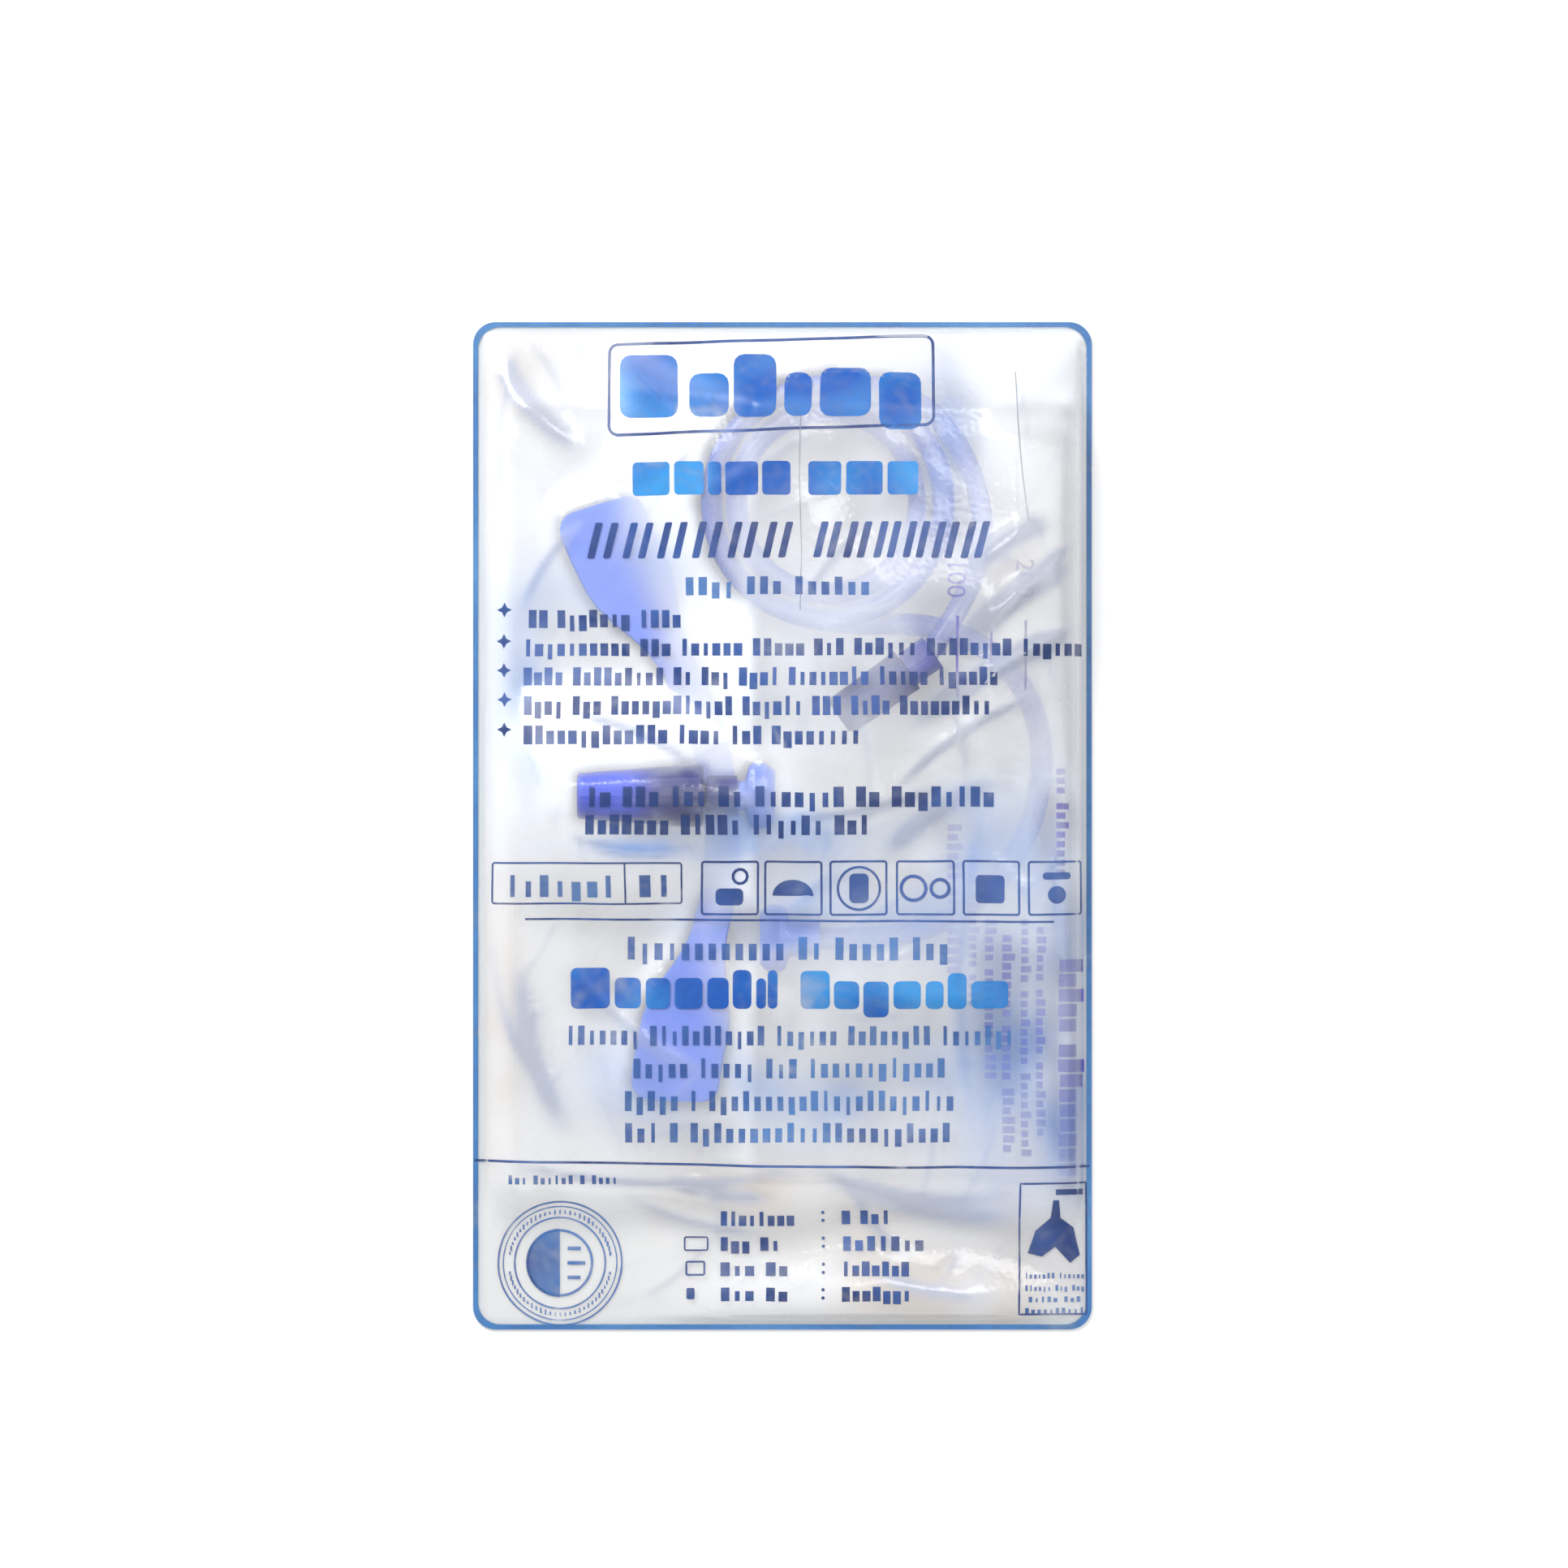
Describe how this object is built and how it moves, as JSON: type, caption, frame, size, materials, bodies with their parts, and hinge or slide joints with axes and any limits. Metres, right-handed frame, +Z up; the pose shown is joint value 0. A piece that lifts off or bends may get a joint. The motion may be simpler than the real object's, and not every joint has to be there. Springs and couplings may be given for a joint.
{
  "type": "packed urine drainage bag",
  "caption": "Urine drainage bag folded round its coiled tube and sealed in a flat, clear printed film pack, with its hanger, outlet valve and capped connector.",
  "frame": {"origin": "middle of the pack's underside, on the surface it lies on", "axes": "+Z up out of the printed face, +Y towards the top of the printed face, +X to its right"},
  "size_m": [0.165, 0.2688, 0.0239],
  "materials": {
    "film": "clear film",
    "bag_sheet": "clear soft film",
    "tube": "soft clear tube",
    "lavender": "moulded",
    "violet": "moulded",
    "blue_violet": "moulded",
    "seal": "soft"
  },
  "bodies": {
    "pack": {"pack_front_film": "film", "pack_back_film": "film", "bag_front_sheet": "bag_sheet", "bag_back_sheet": "bag_sheet", "non_return_sleeve": "bag_sheet", "inlet_tube": "tube", "inlet_port": "lavender", "outlet_port": "lavender", "valve_body": "lavender", "valve_seal_inner": "seal", "valve_seal_outer": "seal", "catheter_connector": "lavender", "hanger": "lavender", "hanger_lock_ring_upper": "lavender", "hanger_lock_ring_lower": "lavender"},
    "sleeve": {"drain_sleeve": "violet"},
    "cap": {"connector_cap": "blue_violet"}
  },
  "joints": [
    {"name": "sleeve_pull", "type": "slide", "parent": "pack", "child": "sleeve", "axis": [-1, 0, 0], "range_m": [0, 0.006]},
    {"name": "cap_pull", "type": "slide", "parent": "pack", "child": "cap", "axis": [-0.8192, -0.5736, 0], "range_m": [0, 0.009]}
  ]
}
